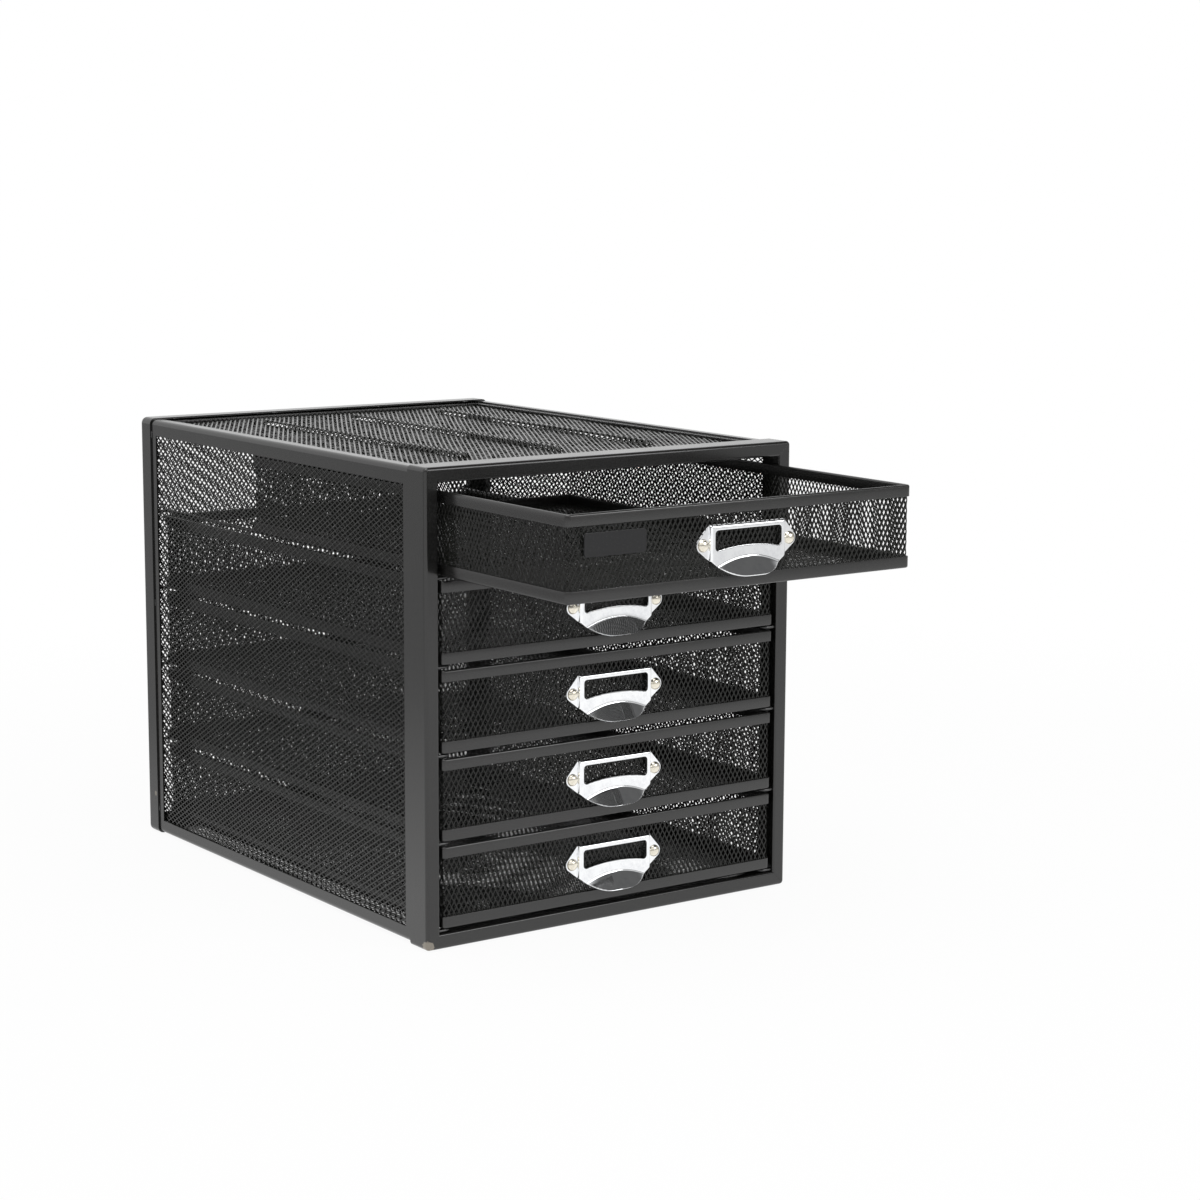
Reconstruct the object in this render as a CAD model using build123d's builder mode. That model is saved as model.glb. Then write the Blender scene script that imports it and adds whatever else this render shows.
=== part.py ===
from build123d import *
from math import hypot, sqrt
import os

# Mesh drawer organizer in millimetres. X is the width, the drawers open towards -Y and Z is up.
# The origin is the middle of the front frame's underside, on the surface that the cabinet stands on.

# drawers, numbered from the top one down
drawer_count = 5
drawer_width = 251.0
drawer_length = 357.0
drawer_height = 50.2
drawer_corner_radius = 3.0
rim_height = 7.0
bottom_rim_height = 7.2
floor_border = 10.0
rim_sheet = 0.8
mesh_sheet = 0.8
floor_sheet = 0.5
top_drawer_opening = 128.0

# wire runners under both edges of each drawer
runner_diameter = 2.3
runner_sides = 8
runner_inset = 6.9
runner_bend_cut = 2.8
runner_slide_gap = 0.3
runner_gap_below = 0.6

# room round the drawers
side_clearance = 2.1
bottom_clearance = 2.6
head_clearance = 4.8
face_recess = 0.5
rear_clearance = 9.5

# folded front and rear frames
frame_sheet = 1.0
frame_face = 9.4
frame_return = 6.0
frame_fold_radius = 2.0
front_frame_depth = 19.0
front_corner_radius = 2.5
rear_frame_depth = 15.0
rear_corner_radius = 4.0
rear_fold_radius = 3.5

# flat frames that hold the cabinet's meshes
panel_flange = 8.0
panel_fold_radius = 3.2
panel_lap = 11.4
side_post_strip = 6.5
side_top_bar = 10.5
side_bottom_bar = 9.0
top_side_strip = 6.0
top_end_strip = 10.0
mesh_lap = 4.0
rear_mesh_inset = 1.2

# pressed ribs in the top mesh
rib_count = 3
rib_spacing = 70.0
rib_length = 255.0
rib_width = 8.0
rib_height = 2.5
rib_draft = 35.0

# diamond gaps: full cells across and up each mesh, small enough to hold what lies in the drawers
strand = 2.6
front_cell_count = (3, 2)
side_cell_count = (2, 2)
back_cell_count = (2, 2)
cabinet_side_cell_count = (2, 14)
cabinet_top_cell_count = (12, 2)
cabinet_bottom_cell_count = (3, 3)
cabinet_rear_cell_count = (2, 14)
net_margin = 1.0
corner_seam = 0.1

# label pull
pull_top_drop = 13.0
pull_width = 54.7
pull_sheet = 0.9
pull_rise = 2.9
ear_drop = 11.5
ear_radius = 4.6
pull_foot_width = 44.0
pull_foot_drop = 24.5
pull_arch_rise = 5.0
window_width = 45.4
window_top = 3.0
window_height = 12.0
window_arch_rise = 2.2
window_chamfer = 2.0
lip_reach = 8.1
lip_flat_width = 27.0
lip_drop = 29.3
rivet_head_radius = 3.8
rivet_head_height = 2.3
rivet_crown_rise = 1.5
rivet_crown_run = 2.2
rivet_sides = 10
rivet_shank_radius = 1.5
rivet_tail_radius = 2.6
rivet_tail_height = 0.8
rivet_clearance = 0.1
rivet_head_gap = 0.15

# derived sizes
drawer_pitch = drawer_height + runner_gap_below + runner_diameter + runner_slide_gap
lowest_drawer_z = frame_face + bottom_clearance
stack_height = (drawer_count - 1) * drawer_pitch + drawer_height
cabinet_width = drawer_width + 2 * (side_clearance + frame_face)
cabinet_depth = drawer_length + face_recess + rear_clearance
cabinet_height = lowest_drawer_z + stack_height + head_clearance + frame_face
front_y = -front_frame_depth / 2
rear_y = front_y + cabinet_depth
closed_face_y = front_y + face_recess
opening_width = cabinet_width - 2 * frame_face
opening_height = cabinet_height - 2 * frame_face
panel_front_y = front_y + front_frame_depth - panel_lap
panel_rear_y = rear_y - rear_frame_depth + panel_lap
panel_half_width = cabinet_width / 2 - frame_sheet
mid_z = cabinet_height / 2
ear_spacing = pull_width + 2 * (rivet_head_radius + rivet_head_gap)

os.makedirs("parts", exist_ok=True)


def write_part(builder, name):
    builder.part.label = name
    export_step(builder.part, f"parts/{name}.step")


# Diamond gaps of a mesh: a staggered pattern of full cells, cut off at the window's edge.
def diamond_gaps(width, height, cells, web):
    across, up = cells
    cell_x = width / across
    cell_y = height / up
    shrink = 1 - web * hypot(cell_x, cell_y) / (cell_x * cell_y)
    half_x = cell_x / 2 * shrink
    half_y = cell_y / 2 * shrink
    full = [
        ((i + 0.5) * cell_x - width / 2, (j + 0.5) * cell_y - height / 2)
        for i in range(across)
        for j in range(up)
    ]
    between = [
        (i * cell_x - width / 2, j * cell_y - height / 2)
        for i in range(across + 1)
        for j in range(up + 1)
    ]
    with BuildSketch() as gaps:
        with Locations(*full, *between):
            Polygon((-half_x, 0), (0, -half_y), (half_x, 0), (0, half_y), align=None)
        Rectangle(width, height, mode=Mode.INTERSECT)
    return gaps.sketch


# Folded ring: a face round the drawer openings, an outer flange and a short inner return.
# The face lies at face_y and both flanges run from it by inward (+1 is towards +Y).
def folded_frame(face_y, inward, depth, corner_radius, fold_radius):
    with BuildPart() as cavity:
        with BuildSketch(Plane.XZ.offset(-face_y - inward * frame_sheet)):
            with Locations((0, mid_z)):
                RectangleRounded(
                    cabinet_width - 2 * frame_sheet,
                    cabinet_height - 2 * frame_sheet,
                    corner_radius - frame_sheet,
                )
        extrude(amount=-inward * depth)
        face_edges = cavity.faces().sort_by(Axis.Y)[0 if inward > 0 else -1].edges()
        chamfer(face_edges, fold_radius - frame_sheet)

    with BuildPart() as ring:
        with BuildSketch(Plane.XZ.offset(-face_y)):
            with Locations((0, mid_z)):
                RectangleRounded(cabinet_width, cabinet_height, corner_radius)
        extrude(amount=-inward * depth)
        face_edges = ring.faces().sort_by(Axis.Y)[0 if inward > 0 else -1].edges()
        fillet(face_edges, fold_radius)
        add(cavity.part, mode=Mode.SUBTRACT)
        with BuildSketch(Plane.XZ.offset(-face_y - inward * frame_sheet)):
            with Locations((0, mid_z)):
                Rectangle(opening_width + 2 * frame_sheet, opening_height + 2 * frame_sheet)
        extrude(amount=-inward * (frame_return - frame_sheet))
        with BuildSketch(Plane.XZ.offset(-face_y)):
            with Locations((0, mid_z)):
                Rectangle(opening_width, opening_height)
        extrude(amount=-inward * depth, mode=Mode.SUBTRACT)
        window_edges = [
            edge
            for edge in ring.faces().sort_by(Axis.Y)[0 if inward > 0 else -1].edges()
            if edge.length > opening_width - 1
            and abs(edge.center().X) <= opening_width / 2 + 0.01
            and abs(edge.center().Z - mid_z) <= opening_height / 2 + 0.01
        ]
        fillet(window_edges, frame_fold_radius - frame_sheet / 2)
    return ring


front_frame = folded_frame(front_y, 1, front_frame_depth, front_corner_radius, frame_fold_radius)
write_part(front_frame, "front_frame")

rear_frame = folded_frame(rear_y, -1, rear_frame_depth, rear_corner_radius, rear_fold_radius)
write_part(rear_frame, "rear_frame")

# Side frames: a sheet with its top and bottom edges folded in and a window for the mesh.
side_window_front = front_y + front_frame_depth + side_post_strip
side_window_rear = rear_y - rear_frame_depth - side_post_strip
side_window_length = side_window_rear - side_window_front
side_window_y = (side_window_front + side_window_rear) / 2
side_window_height = cabinet_height - 2 * frame_sheet - side_top_bar - side_bottom_bar
side_window_z = frame_sheet + side_bottom_bar + side_window_height / 2

with BuildPart() as left_side_frame:
    with BuildSketch(Plane.XZ.offset(-panel_rear_y)) as channel:
        with Locations((-panel_half_width, mid_z)):
            Rectangle(
                panel_flange,
                cabinet_height - 2 * frame_sheet,
                align=(Align.MIN, Align.CENTER),
            )
        fillet(channel.vertices().group_by(Axis.X)[0], panel_fold_radius)
    extrude(amount=panel_rear_y - panel_front_y)
    with BuildSketch(Plane.XZ.offset(-panel_rear_y)) as hollow:
        with Locations((-panel_half_width + frame_sheet, mid_z)):
            Rectangle(
                panel_flange,
                cabinet_height - 4 * frame_sheet,
                align=(Align.MIN, Align.CENTER),
            )
        fillet(hollow.vertices().group_by(Axis.X)[0], panel_fold_radius - frame_sheet)
    extrude(amount=panel_rear_y - panel_front_y, mode=Mode.SUBTRACT)
    with BuildSketch(Plane.YZ.offset(-panel_half_width)):
        with Locations((side_window_y, side_window_z)):
            Rectangle(side_window_length, side_window_height)
    extrude(amount=frame_sheet, mode=Mode.SUBTRACT)
write_part(left_side_frame, "left_side_frame")

with BuildPart() as right_side_frame:
    add(left_side_frame.part)
    mirror(about=Plane.YZ, mode=Mode.REPLACE)
write_part(right_side_frame, "right_side_frame")

with BuildPart() as left_side_mesh:
    with BuildSketch(Plane.YZ.offset(-panel_half_width + frame_sheet)):
        with Locations((side_window_y, side_window_z)):
            Rectangle(side_window_length + 2 * mesh_lap, side_window_height + 2 * mesh_lap)
            add(
                diamond_gaps(side_window_length, side_window_height, cabinet_side_cell_count, strand),
                mode=Mode.SUBTRACT,
            )
    extrude(amount=mesh_sheet)
write_part(left_side_mesh, "left_side_mesh")

with BuildPart() as right_side_mesh:
    add(left_side_mesh.part)
    mirror(about=Plane.YZ, mode=Mode.REPLACE)
write_part(right_side_mesh, "right_side_mesh")

# Top and bottom: a flat frame under the side frames' flanges, with the mesh behind it.
lid_width = 2 * (panel_half_width - panel_fold_radius)
lid_length = panel_rear_y - panel_front_y
lid_y = (panel_rear_y + panel_front_y) / 2
lid_window_width = cabinet_width - 2 * (frame_sheet + panel_flange + top_side_strip)
lid_window_front = front_y + front_frame_depth + top_end_strip
lid_window_rear = rear_y - rear_frame_depth - top_end_strip
lid_window_length = lid_window_rear - lid_window_front
lid_window_y = (lid_window_front + lid_window_rear) / 2
top_frame_z = cabinet_height - 2 * frame_sheet
top_mesh_z = top_frame_z - frame_sheet
bottom_frame_z = 2 * frame_sheet
bottom_mesh_z = bottom_frame_z + frame_sheet

with BuildPart() as top_frame:
    with BuildSketch(Plane.XY.offset(top_mesh_z)):
        with Locations((0, lid_y)):
            Rectangle(lid_width, lid_length)
        with Locations((0, lid_window_y)):
            Rectangle(lid_window_width, lid_window_length, mode=Mode.SUBTRACT)
    extrude(amount=frame_sheet)
write_part(top_frame, "top_frame")

rib_places = [((i - (rib_count - 1) / 2) * rib_spacing, lid_window_y) for i in range(rib_count)]

with BuildSketch() as rib_outline:
    Rectangle(rib_width, rib_length)
    chamfer(rib_outline.vertices(), rib_width / 3)

with BuildPart() as top_mesh:
    with BuildSketch(Plane.XY.offset(top_mesh_z - mesh_sheet)):
        with Locations((0, lid_window_y)):
            Rectangle(lid_window_width + 2 * mesh_lap, lid_window_length + 2 * mesh_lap)
            add(
                diamond_gaps(lid_window_width, lid_window_length, cabinet_top_cell_count, strand),
                mode=Mode.SUBTRACT,
            )
        with Locations(*rib_places):
            Rectangle(rib_width + 2 * mesh_sheet, rib_length + 2 * mesh_sheet)
    extrude(amount=mesh_sheet)
    with BuildSketch(Plane.XY.offset(top_mesh_z)):
        with Locations(*rib_places):
            add(rib_outline.sketch)
    extrude(amount=rib_height, taper=rib_draft)
    with BuildSketch(Plane.XY.offset(top_mesh_z - mesh_sheet)):
        with Locations(*rib_places):
            add(rib_outline.sketch)
    extrude(amount=rib_height, taper=rib_draft, mode=Mode.SUBTRACT)
write_part(top_mesh, "top_mesh")

with BuildPart() as bottom_frame:
    with BuildSketch(Plane.XY.offset(bottom_frame_z)):
        with Locations((0, lid_y)):
            Rectangle(lid_width, lid_length)
        with Locations((0, lid_window_y)):
            Rectangle(lid_window_width, lid_window_length, mode=Mode.SUBTRACT)
    extrude(amount=frame_sheet)
write_part(bottom_frame, "bottom_frame")

with BuildPart() as bottom_mesh:
    with BuildSketch(Plane.XY.offset(bottom_mesh_z)):
        with Locations((0, lid_window_y)):
            Rectangle(lid_window_width + 2 * mesh_lap, lid_window_length + 2 * mesh_lap)
            add(
                diamond_gaps(lid_window_width, lid_window_length, cabinet_bottom_cell_count, strand),
                mode=Mode.SUBTRACT,
            )
    extrude(amount=mesh_sheet)
write_part(bottom_mesh, "bottom_mesh")

# Rear mesh: its edges are welded to the rear frame's inner return.
with BuildPart() as rear_mesh:
    with BuildSketch(Plane.XZ.offset(-rear_y + rear_mesh_inset)):
        with Locations((0, mid_z)):
            Rectangle(opening_width, opening_height)
            add(
                diamond_gaps(
                    opening_width - 2 * mesh_lap,
                    opening_height - 2 * mesh_lap,
                    cabinet_rear_cell_count,
                    strand,
                ),
                mode=Mode.SUBTRACT,
            )
    extrude(amount=mesh_sheet)
write_part(rear_mesh, "rear_mesh")

# Runners: one bent wire under each drawer edge, butt-welded to the inner returns of both frames.
runner_end_x = -opening_width / 2
runner_x = -(drawer_width / 2 - runner_inset)
runner_front_y = front_y + frame_return / 2
runner_rear_y = rear_y - rear_mesh_inset - mesh_sheet - runner_diameter / 2
runner_levels = [
    lowest_drawer_z + i * drawer_pitch - runner_slide_gap - runner_diameter / 2
    for i in range(drawer_count)
]

with BuildPart() as left_runners:
    for level in runner_levels:
        with BuildLine() as wire:
            Polyline(
                (runner_end_x, runner_front_y, level),
                (runner_x - runner_bend_cut, runner_front_y, level),
                (runner_x, runner_front_y + runner_bend_cut, level),
                (runner_x, runner_rear_y - runner_bend_cut, level),
                (runner_x - runner_bend_cut, runner_rear_y, level),
                (runner_end_x, runner_rear_y, level),
            )
        with BuildSketch(Plane(origin=wire.line @ 0, x_dir=(0, 0, 1), z_dir=wire.line % 0)):
            RegularPolygon(
                runner_diameter / 2,
                runner_sides,
                major_radius=False,
                rotation=180 / runner_sides,
            )
        sweep(path=wire.line, transition=Transition.RIGHT)
write_part(left_runners, "left_runners")

with BuildPart() as right_runners:
    add(left_runners.part)
    mirror(about=Plane.YZ, mode=Mode.REPLACE)
write_part(right_runners, "right_runners")

# The pull is drawn in its own frame: X across, Z up from its top edge, and its back face on y = 0.
# Its lip is part of a cone shell, which meets the pull's face along an arch.
pull_foot_z = -pull_foot_drop
arch_top_z = pull_foot_z + pull_arch_rise
lip_slope = lip_reach / (lip_drop + arch_top_z)
arch_run = pull_arch_rise * lip_slope
root_radius = (pull_foot_width**2 / 4 - arch_run**2) / (2 * arch_run)
cone_axis_y = root_radius - pull_rise
lip_wall = pull_sheet * hypot(1, lip_slope)
cone_top_z = arch_top_z + 2 * pull_sheet
cone_foot_z = -lip_drop - pull_sheet
cone_top_radius = root_radius + (arch_top_z - cone_top_z) * lip_slope
cone_foot_radius = root_radius + (arch_top_z - cone_foot_z) * lip_slope
ear_places = [(-ear_spacing / 2, -ear_drop), (ear_spacing / 2, -ear_drop)]

with BuildPart() as pull_lip:
    with BuildSketch(Plane.XZ.offset(-cone_axis_y)):
        Polygon(
            (cone_top_radius, cone_top_z),
            (cone_foot_radius, cone_foot_z),
            (cone_foot_radius - lip_wall, cone_foot_z),
            (cone_top_radius - lip_wall, cone_top_z),
            align=None,
        )
    revolve(axis=Axis((0, cone_axis_y, 0), (0, 0, 1)))
    with BuildSketch(Plane.XZ) as lip_front:
        with BuildLine():
            root_arch = ThreePointArc(
                (-pull_foot_width / 2, pull_foot_z + pull_sheet),
                (0, arch_top_z + pull_sheet),
                (pull_foot_width / 2, pull_foot_z + pull_sheet),
            )
            Polyline(
                root_arch @ 1,
                (pull_foot_width / 2, pull_foot_z),
                (lip_flat_width / 2, -lip_drop),
                (-lip_flat_width / 2, -lip_drop),
                (-pull_foot_width / 2, pull_foot_z),
                root_arch @ 0,
            )
        make_face()
        fillet(lip_front.vertices().group_by(Axis.Y)[0], lip_flat_width / 3)
    extrude(amount=pull_rise + 2 * lip_reach, mode=Mode.INTERSECT)

with BuildSketch(Plane.XZ) as pull_outline:
    with Locations(*ear_places):
        Circle(ear_radius)
    Polygon(
        (-pull_width / 2, 0),
        (-pull_foot_width / 2, pull_foot_z),
        (pull_foot_width / 2, pull_foot_z),
        (pull_width / 2, 0),
        align=None,
    )
    make_hull()
    with BuildLine():
        foot_arch = ThreePointArc(
            (-pull_foot_width / 2, pull_foot_z),
            (0, arch_top_z),
            (pull_foot_width / 2, pull_foot_z),
        )
        Line(foot_arch @ 1, foot_arch @ 0)
    make_face(mode=Mode.SUBTRACT)

with BuildSketch(Plane.XZ) as raised_face:
    add(pull_outline.sketch)
    Rectangle(pull_width, 4 * pull_foot_drop, mode=Mode.INTERSECT)

with BuildSketch(Plane.XZ) as raised_hollow:
    add(raised_face.sketch)
    offset(amount=-pull_sheet, mode=Mode.REPLACE)

window_side = window_width / 2
window_foot = window_top + window_height
with BuildSketch(Plane.XZ) as card_window:
    with BuildLine():
        Polyline(
            (-window_side + window_chamfer, -window_foot),
            (-window_side, -window_foot + window_chamfer),
            (-window_side, -window_top - window_chamfer),
            (-window_side + window_chamfer, -window_top),
            (window_side - window_chamfer, -window_top),
            (window_side, -window_top - window_chamfer),
            (window_side, -window_foot + window_chamfer),
            (window_side - window_chamfer, -window_foot),
        )
        ThreePointArc(
            (-window_side + window_chamfer, -window_foot),
            (0, -window_foot + window_arch_rise),
            (window_side - window_chamfer, -window_foot),
        )
    make_face()

with BuildPart() as pull_shape:
    extrude(pull_outline.sketch, amount=pull_sheet)
    extrude(raised_face.sketch, amount=pull_rise)
    extrude(raised_hollow.sketch, amount=pull_rise - pull_sheet, mode=Mode.SUBTRACT)
    add(pull_lip.part)
    extrude(card_window.sketch, amount=2 * pull_rise, mode=Mode.SUBTRACT)
    with BuildSketch(Plane.XZ):
        with Locations(*ear_places):
            RegularPolygon(rivet_shank_radius + rivet_clearance, rivet_sides)
    extrude(amount=pull_sheet, mode=Mode.SUBTRACT)

# Rivet: domed head on the ear, shank through ear and mesh, flat tail behind the mesh.
with BuildPart() as rivet_shape:
    with BuildSketch(Plane.XZ.offset(-mesh_sheet)):
        RegularPolygon(rivet_tail_radius, rivet_sides)
    extrude(amount=-rivet_tail_height)
    with BuildSketch(Plane.XZ.offset(-mesh_sheet)):
        RegularPolygon(rivet_shank_radius, rivet_sides)
    extrude(amount=mesh_sheet + pull_sheet)
    with BuildSketch(Plane.XZ.offset(pull_sheet)):
        RegularPolygon(rivet_head_radius, rivet_sides)
    extrude(amount=rivet_head_height)
    chamfer(
        rivet_shape.faces().sort_by(Axis.Y)[0].edges(),
        length=rivet_crown_rise,
        length2=rivet_crown_run,
    )

# Mesh walls: four panels inside the rims.
mesh_width = drawer_width - 2 * rim_sheet
mesh_length = drawer_length - 2 * rim_sheet
mesh_corner_cut = (drawer_corner_radius - rim_sheet) * (2 - sqrt(2))
inner_width = mesh_width - 2 * mesh_sheet
inner_length = mesh_length - 2 * mesh_sheet
rim_inner_width = inner_width - 2 * rim_sheet
rim_inner_length = inner_length - 2 * rim_sheet
corner_x = mesh_width / 2 - drawer_corner_radius
corner_y = mesh_length / 2 - drawer_corner_radius
beyond = 2 * drawer_corner_radius
net_height = drawer_height - rim_height - bottom_rim_height - 2 * net_margin
floor_window_width = drawer_width - 2 * floor_border
floor_window_length = drawer_length - 2 * floor_border

with BuildSketch() as mesh_outline:
    Rectangle(mesh_width, mesh_length)
    chamfer(mesh_outline.vertices(), mesh_corner_cut)

# Walls and top rims are four lengths each, welded where they meet on the diagonal of each corner.
with BuildSketch() as corner_seams:
    for turn_x in (-1, 1):
        for turn_y in (-1, 1):
            Polygon(
                (turn_x * corner_x, turn_y * corner_y - corner_seam),
                (turn_x * corner_x, turn_y * corner_y + corner_seam),
                (turn_x * (corner_x + beyond), turn_y * (corner_y + beyond) + corner_seam),
                (turn_x * (corner_x + beyond), turn_y * (corner_y + beyond) - corner_seam),
                align=None,
            )

for number in range(1, drawer_count + 1):
    base_z = lowest_drawer_z + (drawer_count - number) * drawer_pitch
    face_y = closed_face_y - (top_drawer_opening if number == 1 else 0)
    middle_y = face_y + drawer_length / 2
    net_z = base_z + bottom_rim_height + net_margin + net_height / 2
    pull_place = Location((0, face_y + rim_sheet, base_z + drawer_height - pull_top_drop))

    with BuildPart() as top_rim:
        with BuildSketch(Plane.XY.offset(base_z + drawer_height - rim_height)):
            with Locations((0, middle_y)):
                RectangleRounded(drawer_width, drawer_length, drawer_corner_radius)
        extrude(amount=rim_height)
        with BuildSketch(Plane.XY.offset(base_z + drawer_height - rim_height)):
            with Locations((0, middle_y)):
                Rectangle(rim_inner_width, rim_inner_length)
                add(corner_seams.sketch)
        extrude(amount=rim_height, mode=Mode.SUBTRACT)
        with BuildSketch(Plane.XY.offset(base_z + drawer_height - rim_height)):
            with Locations((0, middle_y)):
                add(mesh_outline.sketch)
                Rectangle(inner_width, inner_length, mode=Mode.SUBTRACT)
        extrude(amount=rim_height - rim_sheet, mode=Mode.SUBTRACT)
    write_part(top_rim, f"drawer_{number}_top_rim")

    with BuildPart() as bottom_rim:
        with BuildSketch(Plane.XY.offset(base_z)):
            with Locations((0, middle_y)):
                RectangleRounded(drawer_width, drawer_length, drawer_corner_radius)
                Rectangle(rim_inner_width, rim_inner_length, mode=Mode.SUBTRACT)
        extrude(amount=bottom_rim_height)
        with BuildSketch(Plane.XY.offset(base_z + rim_sheet)):
            with Locations((0, middle_y)):
                add(mesh_outline.sketch)
                Rectangle(inner_width, inner_length, mode=Mode.SUBTRACT)
        extrude(amount=bottom_rim_height, mode=Mode.SUBTRACT)
    write_part(bottom_rim, f"drawer_{number}_bottom_rim")

    with BuildPart() as floor_frame:
        with BuildSketch(Plane.XY.offset(base_z)):
            with Locations((0, middle_y)):
                Rectangle(rim_inner_width, rim_inner_length)
                Rectangle(floor_window_width, floor_window_length, mode=Mode.SUBTRACT)
        extrude(amount=rim_sheet)
    write_part(floor_frame, f"drawer_{number}_floor_frame")

    with BuildPart() as wall_mesh:
        with BuildSketch(Plane.XY.offset(base_z + rim_sheet)):
            with Locations((0, middle_y)):
                add(mesh_outline.sketch)
                Rectangle(inner_width, inner_length, mode=Mode.SUBTRACT)
                add(corner_seams.sketch, mode=Mode.SUBTRACT)
        extrude(amount=drawer_height - 2 * rim_sheet)
        with BuildSketch(Plane.XZ.offset(-face_y - rim_sheet)):
            with Locations((0, net_z)):
                add(diamond_gaps(2 * (corner_x - net_margin), net_height, front_cell_count, strand))
            with Locations(*[(x, pull_place.position.Z + z) for x, z in ear_places]):
                Rectangle(2 * ear_radius, 2 * ear_radius, mode=Mode.SUBTRACT)
                RegularPolygon(rivet_shank_radius + rivet_clearance, rivet_sides)
        extrude(amount=-mesh_sheet, mode=Mode.SUBTRACT)
        with BuildSketch(Plane.XZ.offset(-face_y - drawer_length + rim_sheet)):
            with Locations((0, net_z)):
                add(diamond_gaps(2 * (corner_x - net_margin), net_height, back_cell_count, strand))
        extrude(amount=mesh_sheet, mode=Mode.SUBTRACT)
        with BuildSketch(Plane.YZ.offset(-mesh_width / 2)):
            with Locations((middle_y, net_z)):
                add(diamond_gaps(2 * (corner_y - net_margin), net_height, side_cell_count, strand))
        extrude(amount=mesh_width, mode=Mode.SUBTRACT)
    write_part(wall_mesh, f"drawer_{number}_wall_mesh")

    # The floor's fine mesh lets nothing through, so it is a closed sheet of about the mesh's weight.
    with BuildPart() as floor_mesh:
        with BuildSketch(Plane.XY.offset(base_z + rim_sheet)):
            with Locations((0, middle_y)):
                Rectangle(rim_inner_width, rim_inner_length)
        extrude(amount=floor_sheet)
    write_part(floor_mesh, f"drawer_{number}_floor_mesh")

    with BuildPart() as label_pull:
        with Locations(pull_place):
            add(pull_shape.part)
    write_part(label_pull, f"drawer_{number}_label_pull")

    with BuildPart() as rivets:
        with Locations(*[pull_place * Location((x, 0, z)) for x, z in ear_places]):
            add(rivet_shape.part)
    write_part(rivets, f"drawer_{number}_rivets")
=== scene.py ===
# Black steel-mesh drawer organizer: five mesh drawers on wire runners, each with a chromed label pull.
import math

import bpy
import numpy as np
from mathutils import Matrix, Vector
from mathutils.geometry import delaunay_2d_cdt


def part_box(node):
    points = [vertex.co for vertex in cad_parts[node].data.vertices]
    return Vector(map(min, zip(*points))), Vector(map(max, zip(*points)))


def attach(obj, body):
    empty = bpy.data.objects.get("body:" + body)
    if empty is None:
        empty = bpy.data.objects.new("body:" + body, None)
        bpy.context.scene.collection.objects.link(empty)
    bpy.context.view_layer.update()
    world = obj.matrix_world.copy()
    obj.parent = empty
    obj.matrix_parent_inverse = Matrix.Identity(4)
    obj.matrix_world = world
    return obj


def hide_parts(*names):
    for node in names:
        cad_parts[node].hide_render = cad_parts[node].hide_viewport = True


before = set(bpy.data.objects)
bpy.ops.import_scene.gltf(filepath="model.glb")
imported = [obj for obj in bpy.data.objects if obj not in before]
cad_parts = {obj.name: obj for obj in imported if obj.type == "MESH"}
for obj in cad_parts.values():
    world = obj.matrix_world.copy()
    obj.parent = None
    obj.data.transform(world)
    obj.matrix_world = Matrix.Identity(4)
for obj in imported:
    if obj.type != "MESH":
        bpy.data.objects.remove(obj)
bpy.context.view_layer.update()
print("frame loaded:", len(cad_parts), "nodes")

mm = 0.001
drawers = range(1, 6)

# Seeds of the nets' small waves and uneven strands
netSeeds = {"left": 2, "right": 4, "top": 8, "bottom": 6, "rear": 11, "wall": 17, "floor": 23}


# Mesh from a list of points and faces of one size, all as arrays.
def meshFromArrays(name, points, faces):
    mesh = bpy.data.meshes.new(name)
    mesh.vertices.add(len(points))
    mesh.vertices.foreach_set("co", np.asarray(points, np.float32).ravel())
    mesh.loops.add(faces.size)
    mesh.loops.foreach_set("vertex_index", faces.ravel().astype(np.int32))
    mesh.polygons.add(len(faces))
    mesh.polygons.foreach_set("loop_start", np.arange(0, faces.size, faces.shape[1], dtype=np.int32))
    mesh.update(calc_edges=True)
    mesh.validate()
    return mesh


# Mesh from lists of points, in metres, and faces of any size, with sharp edges above an angle.
def meshFromLists(name, points, faces, angle):
    mesh = bpy.data.meshes.new(name)
    mesh.from_pydata(points, [], faces)
    mesh.update()
    smoothShade(mesh, angle)
    return mesh


def addObject(name, data, place):
    thing = bpy.data.objects.new(name, data)
    thing.location = place
    bpy.context.scene.collection.objects.link(thing)
    return thing


def addPiece(name, mesh, material, place=(0, 0, 0)):
    if not mesh.materials:
        mesh.materials.append(material)
    return addObject(name, mesh, place)


def smoothShade(mesh, angle):
    mesh.shade_smooth()
    mesh.set_sharp_from_angle(angle=math.radians(angle))


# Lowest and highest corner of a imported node, in millimetres.
def boxInMm(node):
    return [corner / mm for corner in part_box(node)]


# Closed outline whose corners (across, up, radius) are rounded.
def roundedOutline(corners, steps):
    points = []
    for i, (x, y, radius) in enumerate(corners):
        here = Vector((x, y))
        back = (Vector(corners[i - 1][:2]) - here).normalized()
        ahead = (Vector(corners[(i + 1) % len(corners)][:2]) - here).normalized()
        if radius <= 0:
            points.append(here)
            continue
        half = back.angle(ahead) / 2
        centre = here + (back + ahead).normalized() * radius / math.sin(half)
        first = here + back * radius / math.tan(half) - centre
        last = here + ahead * radius / math.tan(half) - centre
        for step in range(steps + 1):
            points.append(centre + first.slerp(last, step / steps).normalized() * radius)
    return [tuple(p) for p in points]


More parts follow.
